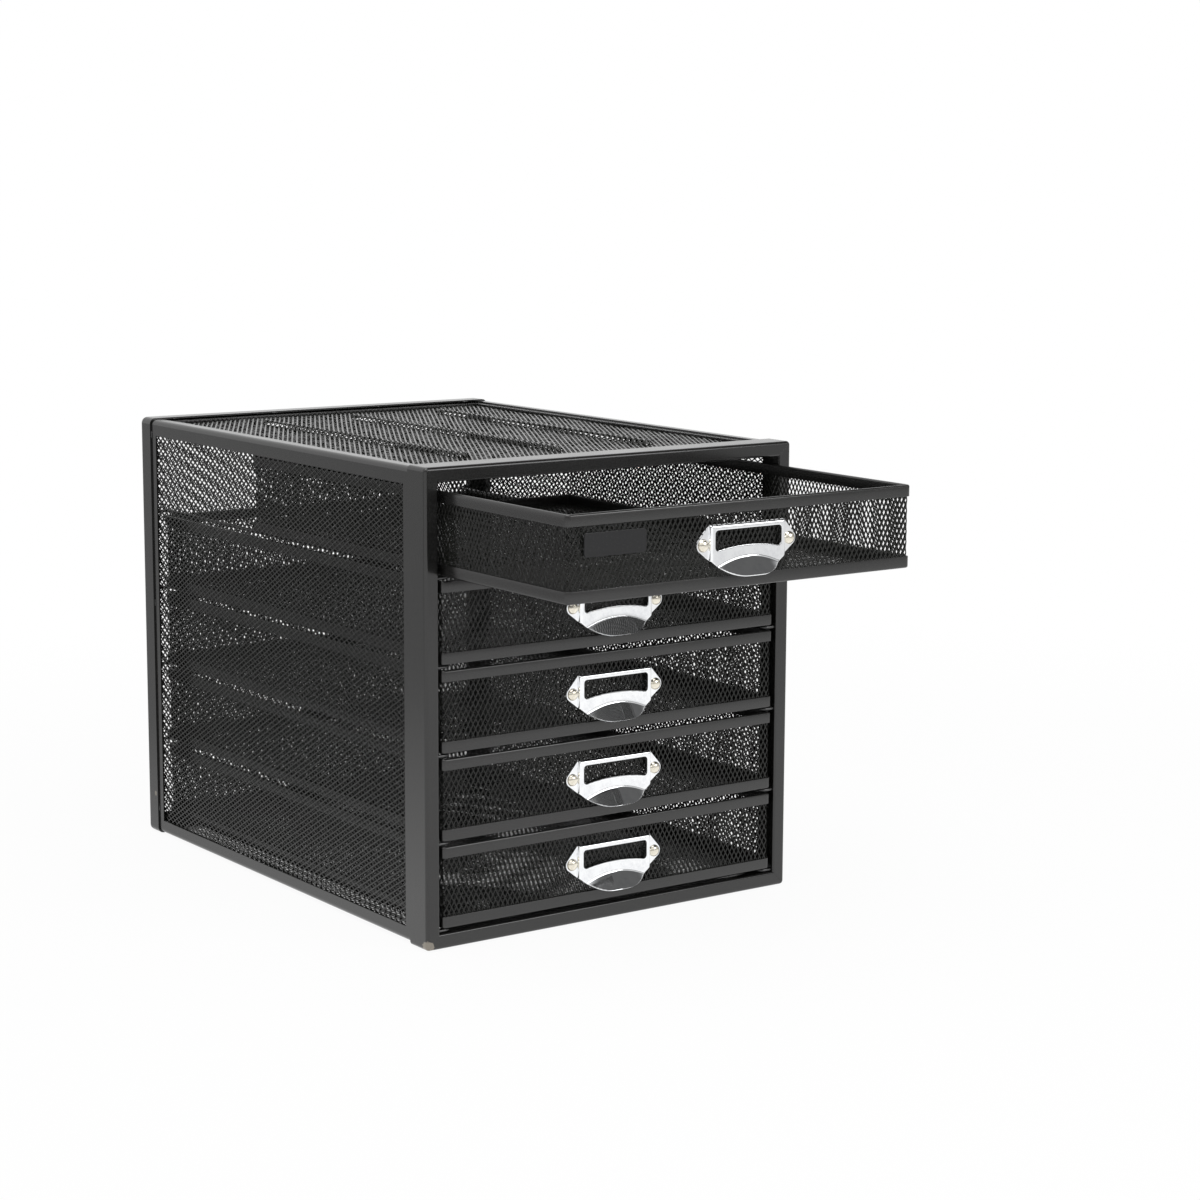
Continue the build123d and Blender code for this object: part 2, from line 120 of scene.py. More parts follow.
# Round rectangle as a path: points and outward normals at distances s, anticlockwise from the front left.
def loopAt(s, width, length, radius):
    arc = math.pi * radius / 2
    points = np.zeros(s.shape + (2,))
    normals = np.zeros(s.shape + (2,))
    start = 0
    for side in range(4):
        angle = math.pi / 2 * (side - 1)
        out = np.array([math.cos(angle), math.sin(angle)])
        along = np.array([-math.sin(angle), math.cos(angle)])
        straight = (length if side % 2 else width) - 2 * radius
        reach = (width if side % 2 else length) / 2
        t = s - start
        flat = (t >= 0) & (t < straight)
        points[flat] = out * reach + along * (t[flat][:, None] - straight / 2)
        normals[flat] = out
        t = t - straight
        bend = (t >= 0) & (t < arc)
        turn = angle + t[bend] / radius
        normals[bend] = np.stack([np.cos(turn), np.sin(turn)], -1)
        points[bend] = out * (reach - radius) + along * straight / 2 + radius * normals[bend]
        start += straight + arc
    return points, normals


# Expanded steel: staggered diamond holes, long way p and short way q, with slanted strands between them.
# The corners of a hole are numbered from its top, clockwise.
def expandedSteel(name, spec, columns, rows, wrap, place, seed):
    dice = np.random.default_rng(seed)
    row, column = np.meshgrid(np.arange(rows), np.arange(columns), indexing="ij")
    toRight, toTop = np.array([0, 1, 0, -1]), np.array([1, 0, -1, 0])
    p = ((column + 0.5 * (row % 2)) * spec["long"])[..., None] + toRight * spec["holeLong"] / 2
    q = (row * spec["short"] / 2)[..., None] + toTop * spec["holeShort"] / 2
    spanP, spanQ, ripple = spec["waveSpans"]
    wave = np.sin(p / spanP + seed) * np.cos(q / spanQ) + np.sin(q / ripple + 2 * seed) / 2
    lift = toTop * spec["slant"] + spec["wave"] * wave + dice.normal(0, spec["jitter"], p.shape)
    p = p + dice.normal(0, spec["jitter"], p.shape)
    top = place(p, q, lift + spec["sheet"] / 2).reshape(-1, 3)
    under = place(p, q, lift - spec["sheet"] / 2).reshape(-1, 3)
    count = len(top)

    def corner(rowOf, columnOf, which):
        return ((rowOf % rows) * columns + columnOf) * 4 + which

    beside = column + row % 2
    above = (wrap | (row < rows - 1)) & (beside < columns)
    below = (wrap | (row > 0)) & (beside < columns)
    joined = above & below & (column < columns - 1)
    risen = [corner(row, column, 0), corner(row, column, 1),
             corner(row + 1, beside, 2), corner(row + 1, beside, 3)]
    fallen = [corner(row, column, 1), corner(row, column, 2),
              corner(row - 1, beside, 3), corner(row - 1, beside, 0)]
    bond = [corner(row, column, 1), corner(row - 1, beside, 0),
            corner(row, column + 1, 3), corner(row + 1, beside, 2)]
    quads = np.concatenate([
        np.stack(risen, -1)[above],
        np.stack(fallen, -1)[below],
        np.stack(bond, -1)[joined],
    ])

    # An edge that only one quad has is the side of a hole, and gets a wall down to the underside.
    starts = quads.ravel().astype(np.int64)
    ends = np.roll(quads, -1, axis=1).ravel().astype(np.int64)
    free = ~np.isin(starts * count + ends, ends * count + starts)
    a, b = starts[free], ends[free]
    walls = np.stack([b, a, a + count, b + count], -1)
    faces = np.concatenate([quads, quads[:, ::-1] + count, walls])
    points = np.concatenate([top, under])
    used, faces = np.unique(faces, return_inverse=True)
    faces = faces.reshape(-1, 4)
    points = points[used]
    first = points[faces[0]]
    outward = np.cross(first[1] - first[0], first[2] - first[0])
    if np.dot(outward, top[quads[0, 0]] - under[quads[0, 0]]) < 0:
        faces = faces[:, ::-1]
    mesh = meshFromArrays(name, points * mm, faces)
    mesh.shade_flat()
    return mesh


# Closed profile (outward, up) swept round a round rectangle.
def sweptRing(name, profile, width, length, radius, arcSteps=7, sharpAngle=40):
    arc = math.pi * radius / 2
    stations = []
    start = 0
    for side in range(4):
        straight = (length if side % 2 else width) - 2 * radius
        stations += [start] + [start + straight + arc * step / arcSteps for step in range(arcSteps)]
        start += straight + arc
    base, normal = loopAt(np.array(stations), width, length, radius)
    profile = np.array(profile)
    flat = base[:, None] + normal[:, None] * profile[None, :, :1]
    up = np.broadcast_to(profile[None, :, 1:], (len(base), len(profile), 1))
    rings = np.concatenate([flat, up], -1)
    ringCount, count = len(base), len(profile)
    i, j = np.meshgrid(np.arange(ringCount), np.arange(count), indexing="ij")
    nextI, nextJ = (i + 1) % ringCount, (j + 1) % count
    faces = np.stack([i * count + j, nextI * count + j, nextI * count + nextJ, i * count + nextJ], -1)
    mesh = meshFromArrays(name, rings.reshape(-1, 3) * mm, faces.reshape(-1, 4))
    smoothShade(mesh, sharpAngle)
    return mesh


# Round wires along flat routes of (x, y) at given heights, with filleted bends and closed ends.
def wiresMesh(name, route, levels, radius, sides=14, sharpAngle=50):
    points, faces, caps = [], [], []
    route = [Vector(p) for p in route]
    last = len(route) - 1
    for level in levels:
        base = len(points)
        for i, here in enumerate(route):
            back = (here - route[max(i - 1, 0)]).normalized()
            ahead = (route[min(i + 1, last)] - here).normalized()
            along = (back + ahead).normalized()
            across = Vector((along.y, -along.x))
            for k in range(sides):
                turn = 2 * math.pi * k / sides
                side = across * math.cos(turn) * radius
                points.append((here.x + side.x, here.y + side.y, level + math.sin(turn) * radius))
        for i in range(last):
            for k in range(sides):
                a = base + i * sides + k
                b = base + i * sides + (k + 1) % sides
                faces.append((a, a + sides, b + sides, b))
        caps.append([base + k for k in range(sides)])
        caps.append([base + last * sides + k for k in reversed(range(sides))])
    return meshFromLists(name, [tuple(c * mm for c in p) for p in points], faces + caps, sharpAngle)


# Turned piece: profile (radius, height) spun round an axis along Y, with heights towards the front.
def turnedPoints(profile, centre, segments, base):
    points, faces = [], []
    count = len(profile)
    for k in range(segments):
        turn = 2 * math.pi * k / segments
        cosine, sine = math.cos(turn), math.sin(turn)
        for radius, height in profile:
            points.append((centre[0] + radius * cosine, centre[1] - height, centre[2] + radius * sine))
    for k in range(segments):
        a, b = base + k * count, base + (k + 1) % segments * count
        for i in range(count - 1):
            faces.append((a + i, a + i + 1, b + i + 1, b + i))
    faces.append([base + k * count for k in range(segments)])
    faces.append([base + k * count + count - 1 for k in reversed(range(segments))])
    return points, faces


# Node with its settings and its inputs, which are values or the output sockets of other nodes.
def addNode(tree, kind, inputs=None, **settings):
    node = tree.nodes.new(kind)
    for name, value in settings.items():
        setattr(node, name, value)
    for socket, value in (inputs or {}).items():
        if isinstance(value, bpy.types.NodeSocket):
            tree.links.new(value, node.inputs[socket])
        else:
            node.inputs[socket].default_value = value
    return node


def maths(tree, operation, a, b=0.0, clamp=False):
    return addNode(tree, "ShaderNodeMath", {0: a, 1: b}, operation=operation, use_clamp=clamp).outputs[0]


def noise(tree, where, scale, detail, roughness=0.5):
    inputs = {"Vector": where, "Scale": scale, "Detail": detail, "Roughness": roughness}
    return addNode(tree, "ShaderNodeTexNoise", inputs).outputs["Fac"]


# Value moved from one range to another and kept inside it, in a straight line or an S-curve.
def mapRange(tree, value, fromLow=0.0, fromHigh=1.0, toLow=0.0, toHigh=1.0, curve="LINEAR"):
    inputs = {0: value, 1: fromLow, 2: fromHigh, 3: toLow, 4: toHigh}
    return addNode(tree, "ShaderNodeMapRange", inputs, interpolation_type=curve).outputs[0]


def mixColours(tree, amount, first, second):
    return addNode(tree, "ShaderNodeMix", {0: amount, 6: first, 7: second}, data_type="RGBA").outputs[2]


def mixValues(tree, amount, first, second):
    return addNode(tree, "ShaderNodeMix", {0: amount, 2: first, 3: second}).outputs[0]


def objectPlace(tree):
    return addNode(tree, "ShaderNodeTexCoord").outputs["Object"]


def splitVector(tree, vector):
    return addNode(tree, "ShaderNodeSeparateXYZ", {0: vector}).outputs


def newGroup(name, inputs, outputs):
    group = bpy.data.node_groups.new(name, "ShaderNodeTree")
    for label, kind in inputs.items():
        group.interface.new_socket(label, in_out="INPUT", socket_type="NodeSocket" + kind)
    for label, kind in outputs.items():
        group.interface.new_socket(label, in_out="OUTPUT", socket_type="NodeSocket" + kind)
    return group, group.nodes.new("NodeGroupInput").outputs, group.nodes.new("NodeGroupOutput").inputs


# Noises are given as (scale, detail).
grainLook = {
    "peel": (1400, 2), "cloud": (22, 5), "specks": (900, 1), "speckFrom": 0.56, "speckTo": 0.72,
    "dustRoughness": 0.3,
}


# Paint grain: orange peel, cloudy patches and dust settled on what faces up.
def createGrainGroup():
    group, given, result = newGroup(
        "paintGrain",
        {"Colour": "Color", "Dust Colour": "Color", "Dust": "Float", "Roughness": "Float", "Cloud": "Float"},
        {"Colour": "Color", "Roughness": "Float", "Height": "Float"},
    )
    where = objectPlace(group)
    peel, cloud, specks = (noise(group, where, *grainLook[part]) for part in ("peel", "cloud", "specks"))
    facing = splitVector(group, addNode(group, "ShaderNodeNewGeometry").outputs["Normal"])
    lying = addNode(group, "ShaderNodeMath", {0: facing["Z"], 1: 0.5, 2: 0.5}, operation="MULTIPLY_ADD")
    speck = mapRange(group, specks, grainLook["speckFrom"], grainLook["speckTo"])
    settled = maths(group, "MULTIPLY", speck, lying.outputs[0])
    dust = maths(group, "MULTIPLY", settled, given["Dust"], clamp=True)
    patch = maths(group, "MULTIPLY", maths(group, "SUBTRACT", cloud, 0.5), given["Cloud"])
    clouded = maths(group, "ADD", given["Roughness"], patch)
    dusty = maths(group, "MULTIPLY", dust, grainLook["dustRoughness"])
    group.links.new(mixColours(group, dust, given["Colour"], given["Dust Colour"]), result["Colour"])
    group.links.new(maths(group, "ADD", clouded, dusty, clamp=True), result["Roughness"])
    group.links.new(peel, result["Height"])
    return group


# Thin mitred joint across a corner: a line where the distances from the corner's two edges are equal.
def createMitreGroup():
    group, given, result = newGroup(
        "mitreJoint", dict.fromkeys(("Side", "End", "Reach", "Width"), "Float"), {"Mask": "Float"})
    apart = maths(group, "ABSOLUTE", maths(group, "SUBTRACT", given["Side"], given["End"]))
    line = maths(group, "LESS_THAN", apart, given["Width"])
    near = maths(group, "LESS_THAN", given["End"], given["Reach"])
    group.links.new(maths(group, "MULTIPLY", line, near), result["Mask"])
    return group


wearNoise = (700, 4)


# Worn spot: paint gone round one place, with a ragged edge.
def createWearGroup():
    group, given, result = newGroup("wornSpot", {"Place": "Vector", "Size": "Float"}, {"Mask": "Float"})
    where = objectPlace(group)
    apart = addNode(group, "ShaderNodeVectorMath", {0: where, 1: given["Place"]}, operation="DISTANCE")
    ragged = noise(group, where, *wearNoise)
    edge = maths(group, "MULTIPLY", maths(group, "ADD", ragged, 0.5), given["Size"])
    group.links.new(maths(group, "LESS_THAN", apart.outputs["Value"], edge), result["Mask"])
    return group


grainGroup = createGrainGroup()
mitreGroup = createMitreGroup()
wearGroup = createWearGroup()


def placeGroup(tree, group, **values):
    inputs = {label.replace("_", " "): value for label, value in values.items()}
    return addNode(tree, "ShaderNodeGroup", inputs, node_tree=group).outputs


def startMaterial(name):
    material = bpy.data.materials.new(name)
    material.use_nodes = True
    tree = material.node_tree
    return material, tree, tree.nodes["Principled BSDF"].inputs


# Base colour, roughness and bump (strength, distance), which every material of the object has.
def linkSurface(tree, shader, colour, rough, height, bump):
    bump = addNode(tree, "ShaderNodeBump", {"Strength": bump[0], "Distance": bump[1], "Height": height})
    tree.links.new(colour, shader["Base Color"])
    tree.links.new(rough, shader["Roughness"])
    tree.links.new(bump.outputs[0], shader["Normal"])


coatLooks = {
    "frame": {"colour": (0.006, 0.006, 0.0055, 1), "roughness": 0.19, "sheen": 0.66,
              "cloud": 0.12, "dust": 0.03, "peel": 0.04},
    "drawer": {"colour": (0.007, 0.007, 0.0065, 1), "roughness": 0.22, "sheen": 0.72,
               "cloud": 0.10, "dust": 0.04, "peel": 0.04},
    "mesh": {"colour": (0.007, 0.0075, 0.006, 1), "roughness": 0.20, "sheen": 0.30,
             "cloud": 0.20, "dust": 0.04, "peel": 0.04},
    "plate": {"colour": (0.010, 0.010, 0.011, 1), "roughness": 0.34, "sheen": 0.35,
              "cloud": 0.1, "dust": 0.05, "peel": 0.02},
}
coatDetails = {
    "dustColour": (0.32, 0.31, 0.28, 1), "bareSteel": (0.24, 0.22, 0.19, 1), "wornDepth": 0.5,
    "jointColour": (0.002, 0.002, 0.002, 1), "jointDepth": 0.8, "bump": (0.6, 0.0002),
}

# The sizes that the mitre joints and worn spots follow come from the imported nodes.
frontLow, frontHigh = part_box("front_frame")
rearLow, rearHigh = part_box("rear_frame")
sideLow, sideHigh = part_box("left_side_frame")
mitre = {"halfHeight": frontHigh.z / 2, "reach": 0.0092, "width": 0.00014}


def paintGrain(tree, look):
    return placeGroup(tree, grainGroup, Colour=look["colour"], Dust_Colour=coatDetails["dustColour"],
                      Dust=look["dust"], Roughness=look["roughness"], Cloud=look["cloud"])


# Distance inwards from the nearer of two opposite edges.
def edgeAway(tree, value, middle, half):
    fromMiddle = maths(tree, "ABSOLUTE", maths(tree, "SUBTRACT", value, middle))
    return maths(tree, "SUBTRACT", half, fromMiddle)


# Satin black powder coat; mitreAxis is (axis, middle, half width) of a ring with mitred corners, and
# wornAt lists (place, size) of spots where the steel shows.
def createPowderCoat(name, look, mitreAxis=None, wornAt=()):
    material, tree, shader = startMaterial(name)
    colour, rough, height = paintGrain(tree, look)
    height = maths(tree, "MULTIPLY", height, look["peel"])
    if mitreAxis is not None:
        where = splitVector(tree, objectPlace(tree))
        axis, middle, half = mitreAxis
        joint = placeGroup(
            tree, mitreGroup, Side=edgeAway(tree, where[axis], middle, half),
            End=edgeAway(tree, where["Z"], mitre["halfHeight"], mitre["halfHeight"]),
            Reach=mitre["reach"], Width=mitre["width"])[0]
        colour = mixColours(tree, joint, colour, coatDetails["jointColour"])
        height = maths(tree, "SUBTRACT", height, maths(tree, "MULTIPLY", joint, coatDetails["jointDepth"]))
    bare = 0.0
    for spot, size in wornAt:
        worn = placeGroup(tree, wearGroup, Place=spot, Size=size)[0]
        bare = maths(tree, "MAXIMUM", bare, worn)
        colour = mixColours(tree, worn, colour, coatDetails["bareSteel"])
        height = maths(tree, "SUBTRACT", height, maths(tree, "MULTIPLY", worn, coatDetails["wornDepth"]))
    if wornAt:
        tree.links.new(bare, shader["Metallic"])
    shader["Specular IOR Level"].default_value = look["sheen"]
    linkSurface(tree, shader, colour, rough, height, coatDetails["bump"])
    return material


wireLook = {
    "colour": (0.010, 0.010, 0.010, 1), "roughness": 0.16, "dust": 0.05, "cloud": 0.1,
    "coat": 0.5, "coatRoughness": 0.08, "bump": (0.3, 0.0001),
}


def createWirePaint():
    material, tree, shader = startMaterial("glossWirePaint")
    colour, rough, height = paintGrain(tree, wireLook)
    linkSurface(tree, shader, colour, rough, height, wireLook["bump"])
    shader["Coat Weight"].default_value = wireLook["coat"]
    shader["Coat Roughness"].default_value = wireLook["coatRoughness"]
    return material


platingLooks = {
    "chrome": {"colour": (0.86, 0.87, 0.88, 1), "smear": (0.74, 0.75, 0.77, 1), "low": 0.03, "high": 0.10},
    "nickel": {"colour": (0.80, 0.76, 0.66, 1), "smear": (0.62, 0.57, 0.46, 1), "low": 0.16, "high": 0.32},
}
platingDetails = {
    "smear": (160, 6, 0.7), "smearFrom": 0.45, "smearTo": 0.75,
    "lineScale": (300, 300, 6000), "lines": (1, 2), "bump": (0.02, 0.0001),
}


# Plated metal: faint smears in colour and gloss, and fine polishing lines.
def createPlating(name, look):
    material, tree, shader = startMaterial(name)
    where = objectPlace(tree)
    smear = noise(tree, where, *platingDetails["smear"])
    stretched = addNode(tree, "ShaderNodeMapping", {"Vector": where, "Scale": platingDetails["lineScale"]})
    lines = noise(tree, stretched.outputs[0], *platingDetails["lines"])
    amount = mapRange(tree, smear, platingDetails["smearFrom"], platingDetails["smearTo"])
    colour = mixColours(tree, amount, look["colour"], look["smear"])
    rough = mapRange(tree, amount, toLow=look["low"], toHigh=look["high"])
    linkSurface(tree, shader, colour, rough, lines, platingDetails["bump"])
    shader["Metallic"].default_value = 1
    return material


wornSpots = [
    ((frontLow.x + 0.001, frontLow.y + 0.001, 0.002), 0.0042),
    ((rearLow.x, rearHigh.y - 0.012, 0.028), 0.0016),
]
frameCoat = createPowderCoat("frameCoat", coatLooks["frame"], ("X", 0, frontHigh.x), wornSpots)
sideCoat = createPowderCoat(
    "sidePanelCoat", coatLooks["frame"], ("Y", (sideLow.y + sideHigh.y) / 2, (sideHigh.y - sideLow.y) / 2))
lidCoat = createPowderCoat("lidCoat", coatLooks["frame"])
drawerCoat = createPowderCoat("drawerCoat", coatLooks["drawer"])
meshCoat = createPowderCoat("meshCoat", coatLooks["mesh"])
plateCoat = createPowderCoat("plateCoat", coatLooks["plate"])
wirePaint = createWirePaint()
chromePlate = createPlating("chromePlate", platingLooks["chrome"])
nickelPlate = createPlating("nickelPlate", platingLooks["nickel"])
print("materials made")


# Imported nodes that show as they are
coats = {
    "front_frame": frameCoat, "rear_frame": frameCoat, "left_side_frame": sideCoat,
    "right_side_frame": sideCoat, "top_frame": lidCoat, "bottom_frame": lidCoat,
}
coats.update({f"drawer_{number}_floor_frame": drawerCoat for number in drawers})
for name, coat in coats.items():
    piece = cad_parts[name]
    piece.data.materials.clear()
    piece.data.materials.append(coat)

# Cabinet meshes
steelNet = {
    "long": 6.2, "short": 3.5, "holeLong": 4.6, "holeShort": 2.56, "sheet": 0.40, "slant": 0.05,
    "wave": 0.22, "waveSpans": (21, 27, 13), "jitter": 0.035, "inset": 0.4,
}
lidSteel = dict(steelNet, holeLong=4.3, holeShort=2.25)
lidSheet = 0.8


# Columns and rows that fill a panel of this size, and functions that fit the net's two ways to it.
def netFit(spec, longWay, shortWay):
    columns = round(longWay / spec["long"])
    rows = round(2 * shortWay / spec["short"])
    spanP = (columns - 0.5) * spec["long"] + spec["holeLong"]
    spanQ = (rows - 1) * spec["short"] / 2 + spec["holeShort"]
    inset = spec["inset"]

    def fitP(p):
        return inset + (p + spec["holeLong"] / 2) * (longWay - 2 * inset) / spanP

    def fitQ(q):
        return inset + (q + spec["holeShort"] / 2) * (shortWay - 2 * inset) / spanQ

    return columns, rows, fitP, fitQ


def sideNet(name, node, outward, seed):
    low, high = boxInMm(node)
    columns, rows, fitP, fitQ = netFit(steelNet, high.y - low.y, high.z - low.z)
    middle = (low.x + high.x) / 2

    def place(p, q, lift):
        return np.stack([middle + outward * lift, low.y + fitP(p), low.z + fitQ(q)], -1)

    return expandedSteel(name, steelNet, columns, rows, False, place, seed)


topRibs = {"count": 3, "spacing": 70.0, "length": 255.0, "width": 8.0, "height": 2.3, "edge": 1.8}


# Height of the ribs pressed into the lid's mesh.
def ribLift(x, y, middleY):
    offset = x / topRibs["spacing"] + (topRibs["count"] - 1) / 2
    nearest = np.clip(np.round(offset), 0, topRibs["count"] - 1) - (topRibs["count"] - 1) / 2
    across = np.abs(x - nearest * topRibs["spacing"])
    along = np.maximum(np.abs(y - middleY) - topRibs["length"] / 2 + topRibs["width"] / 2, 0)
    away = topRibs["width"] / 2 - np.hypot(across, along)
    rise = np.clip(away / topRibs["edge"], 0, 1)
    return topRibs["height"] * rise * rise * (3 - 2 * rise)


def lidNet(name, node, facing, ribs, seed):
    low, high = boxInMm(node)
    middleZ = (low.z if facing > 0 else high.z) + facing * lidSheet / 2
    columns, rows, fitP, fitQ = netFit(lidSteel, high.y - low.y, high.x - low.x)
    middleY = (low.y + high.y) / 2

    def place(p, q, lift):
        x, y = low.x + fitQ(q), low.y + fitP(p)
        z = middleZ + facing * lift
        return np.stack([x, y, z + (ribLift(x, y, middleY) if ribs else 0)], -1)

    return expandedSteel(name, lidSteel, columns, rows, False, place, seed)


def rearNet(name, node, seed):
    low, high = boxInMm(node)
    columns, rows, fitP, fitQ = netFit(steelNet, high.z - low.z, high.x - low.x)

    def place(p, q, lift):
        return np.stack([low.x + fitQ(q), (low.y + high.y) / 2 + lift, low.z + fitP(p)], -1)

    return expandedSteel(name, steelNet, columns, rows, False, place, seed)


def placeCabinetNet(build, node, *how):
    name = node.replace("mesh", "net")
    piece = addPiece(name, build(name, node, *how), meshCoat)
    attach(piece, "cabinet")
    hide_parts(node)


placeCabinetNet(sideNet, "left_side_mesh", -1, netSeeds["left"])
placeCabinetNet(sideNet, "right_side_mesh", 1, netSeeds["right"])
placeCabinetNet(lidNet, "top_mesh", 1, True, netSeeds["top"])
placeCabinetNet(lidNet, "bottom_mesh", -1, False, netSeeds["bottom"])
placeCabinetNet(rearNet, "rear_mesh", netSeeds["rear"])
print("cabinet nets made")

# Runner wires
runner = {"radius": 1.15, "bend": 4.0, "bendSteps": 7, "gap": 0.3}


def runnerRoute(node, side):
    low, high = boxInMm(node)
    end = low.x if side < 0 else high.x
    line = (high.x if side < 0 else low.x) + side * runner["radius"]
    front, rear = low.y + runner["radius"], high.y - runner["radius"]
    route = [(end, front)]
    for corner, turn in ((front, 1), (rear, -1)):
        centre = (line + side * runner["bend"], corner + turn * runner["bend"])
        steps = range(runner["bendSteps"] + 1)
        for step in (steps if turn > 0 else reversed(steps)):
            angle = math.pi / 2 * step / runner["bendSteps"]
            route.append((centre[0] - side * math.sin(angle) * runner["bend"],
                          centre[1] - turn * math.cos(angle) * runner["bend"]))
    route.append((end, rear))
    return route


rimBottoms = [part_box(f"drawer_{number}_bottom_rim")[0].z / mm for number in drawers]
runnerLevels = [bottom - runner["gap"] - runner["radius"] for bottom in rimBottoms]
for side, node in ((-1, "left_runners"), (1, "right_runners")):
    name = node.replace("runners", "runner_wires")
    mesh = wiresMesh(name, runnerRoute(node, side), runnerLevels, runner["radius"])
    wires = addPiece(name, mesh, wirePaint)
    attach(wires, "cabinet")
    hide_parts(node)
print("runner wires made")

# Rim channels, shared by the drawers
rim = {
    "sheet": 0.8, "channel": 2.4, "topRound": 1.15, "innerRound": 0.4, "edgeRound": 0.25, "roundSteps": 4,
    "cornerRadius": 3.0,
}


def rimProfile(height, opensDown):
    sheet, wide, edge, inner = rim["sheet"], rim["channel"], rim["edgeRound"], rim["innerRound"]
    profile = roundedOutline([
        (0, 0, edge), (0, height, rim["topRound"]), (-wide, height, rim["topRound"]), (-wide, 0, edge),
        (sheet - wide, 0, edge), (sheet - wide, height - sheet, inner), (-sheet, height - sheet, inner),
        (-sheet, 0, edge),
    ], rim["roundSteps"])
    if opensDown:
        return profile[::-1]
    return [(n, height - z) for n, z in profile]


def nodeSize(node):
    low, high = boxInMm(node)
    return high - low


rimMeshes = {}
for part, opensDown in (("top_rim", True), ("bottom_rim", False)):
    size = nodeSize(f"drawer_2_{part}")
    profile = rimProfile(size.z, opensDown)
    rimMeshes[part] = sweptRing(f"drawer_{part}_channel", profile, size.x, size.y, rim["cornerRadius"])

# Drawer walls and floors: the wall's mesh runs all round, with its long diamonds upright
wallNet = dict(steelNet, long=6.3, holeLong=4.7, wave=0.10)
floorNet = dict(steelNet, wave=0.05)
drawerNet = {"wallRadius": 2.2, "wallStart": 2.2, "wallColumns": 7, "wallSheet": 0.8, "floorLift": 0.4}
wallSize = nodeSize("drawer_2_wall_mesh")
floorSize = nodeSize("drawer_2_floor_mesh")


def wallNetMesh():
    width, length = wallSize.x - drawerNet["wallSheet"], wallSize.y - drawerNet["wallSheet"]
    radius = drawerNet["wallRadius"]
    around = 2 * (width + length) - 8 * radius + 2 * math.pi * radius
    rows = 2 * round(around / wallNet["short"])
    stretch = around / (rows * wallNet["short"] / 2)

    def place(p, q, lift):
        points, normals = loopAt((q * stretch) % around, width, length, radius)
        spot = points + normals * lift[..., None]
        return np.concatenate([spot, (drawerNet["wallStart"] + p)[..., None]], -1)

    return expandedSteel(
        "drawer_wall_net", wallNet, drawerNet["wallColumns"], rows, True, place, netSeeds["wall"])


def floorNetMesh():
    columns, rows, fitP, fitQ = netFit(floorNet, floorSize.y, floorSize.x)

    def place(p, q, lift):
        return np.stack(
            [fitQ(q) - floorSize.x / 2, fitP(p) - floorSize.y / 2, lift + drawerNet["floorLift"]], -1)

    return expandedSteel("drawer_floor_net", floorNet, columns, rows, False, place, netSeeds["floor"])


wallMesh = wallNetMesh()
floorMesh = floorNetMesh()
print("drawer nets made")

# Label pull: a pressed plate with ears, a card window and a finger lip that flares out of it
pull = {
    "width": 54.7, "sheet": 0.9, "rise": 2.9, "earDrop": 11.5, "earRadius": 4.6, "footWidth": 44.0,
    "footDrop": 24.5, "archRise": 5.0, "lipReach": 8.1, "lipFlat": 27.0, "lipDrop": 29.3, "lipRound": 28.0,
    "windowWidth": 48.4, "windowTop": 3.0, "windowHeight": 12.0, "windowArch": 2.2, "windowRound": 2.2,
    "windowShoulder": 2.0, "pressRound": 1.2, "flange": 0.12, "crease": 0.5, "bevel": 0.16, "bevelAngle": 55,
    "footing": 0.02, "fadeBelow": 19, "fadeRate": 0.5,
}

# How finely the pull is meshed: rows of points follow its press and crease, and a lattice fills the rest.
pullGrid = {
    "earSteps": 18, "lipSteps": 10, "windowSteps": 5, "archPoints": 25, "outlineStep": 0.7, "rowStep": 0.6,
    "pressRows": (0.0, 0.08, 0.28, 0.6, 1.2), "topSpan": (-29, 29), "sideSpan": (-20, -0.3),
    "lowerSpan": (0, 20), "onRow": 0.02, "outerRows": (0.02, 0.5), "outerSpan": (-24, -0.2),
    "creaseRows": (-1.1, -0.7, -0.35, 0, 0.35, 0.7, 1.1), "creaseSpan": (-21.6, 21.7),
    "latticeStep": 0.72, "latticeRow": 0.87, "latticeHalf": 37, "latticeDrop": 30,
    "pressClear": 1.5, "creaseClear": 1.4, "earClear": 0.8, "outlineClear": 0.06, "windowClear": 0.3,
    "sameSpot": 0.01, "weld": 1e-4,
}
archTop = pull["archRise"] - pull["footDrop"]
lipSlope = pull["lipReach"] / (pull["lipDrop"] + archTop)
archRun = pull["archRise"] * lipSlope
rootRadius = (pull["footWidth"] ** 2 / 4 - archRun ** 2) / (2 * archRun)
pullHalf = pull["width"] / 2


# Points along a closed outline, about a step apart.
def resampled(points):
    result = []
    for a, b in zip(points, points[1:] + points[:1]):
        a, b = Vector(a), Vector(b)
        count = max(1, round((b - a).length / pullGrid["outlineStep"]))
        result += [tuple(a.lerp(b, i / count)) for i in range(count)]
    return result


def inside(points, polygon):
    x, z = points[:, :1], points[:, 1:]
    ax, az = np.array(polygon)[None, :, 0], np.array(polygon)[None, :, 1]
    bx, bz = np.roll(ax, -1, 1), np.roll(az, -1, 1)
    crosses = (az > z) != (bz > z)
    at = ax + (z - az) / np.where(bz == az, 1, bz - az) * (bx - ax)
    return (crosses & (x < at)).sum(1) % 2 == 1


def edgeDistance(points, polygon):
    a = np.array(polygon)[None]
    b = np.roll(a, -1, 1)
    along = b - a
    t = np.clip(((points[:, None] - a) * along).sum(-1) / (along ** 2).sum(-1), 0, 1)
    return np.linalg.norm(points[:, None] - a - t[..., None] * along, axis=-1).min(1)


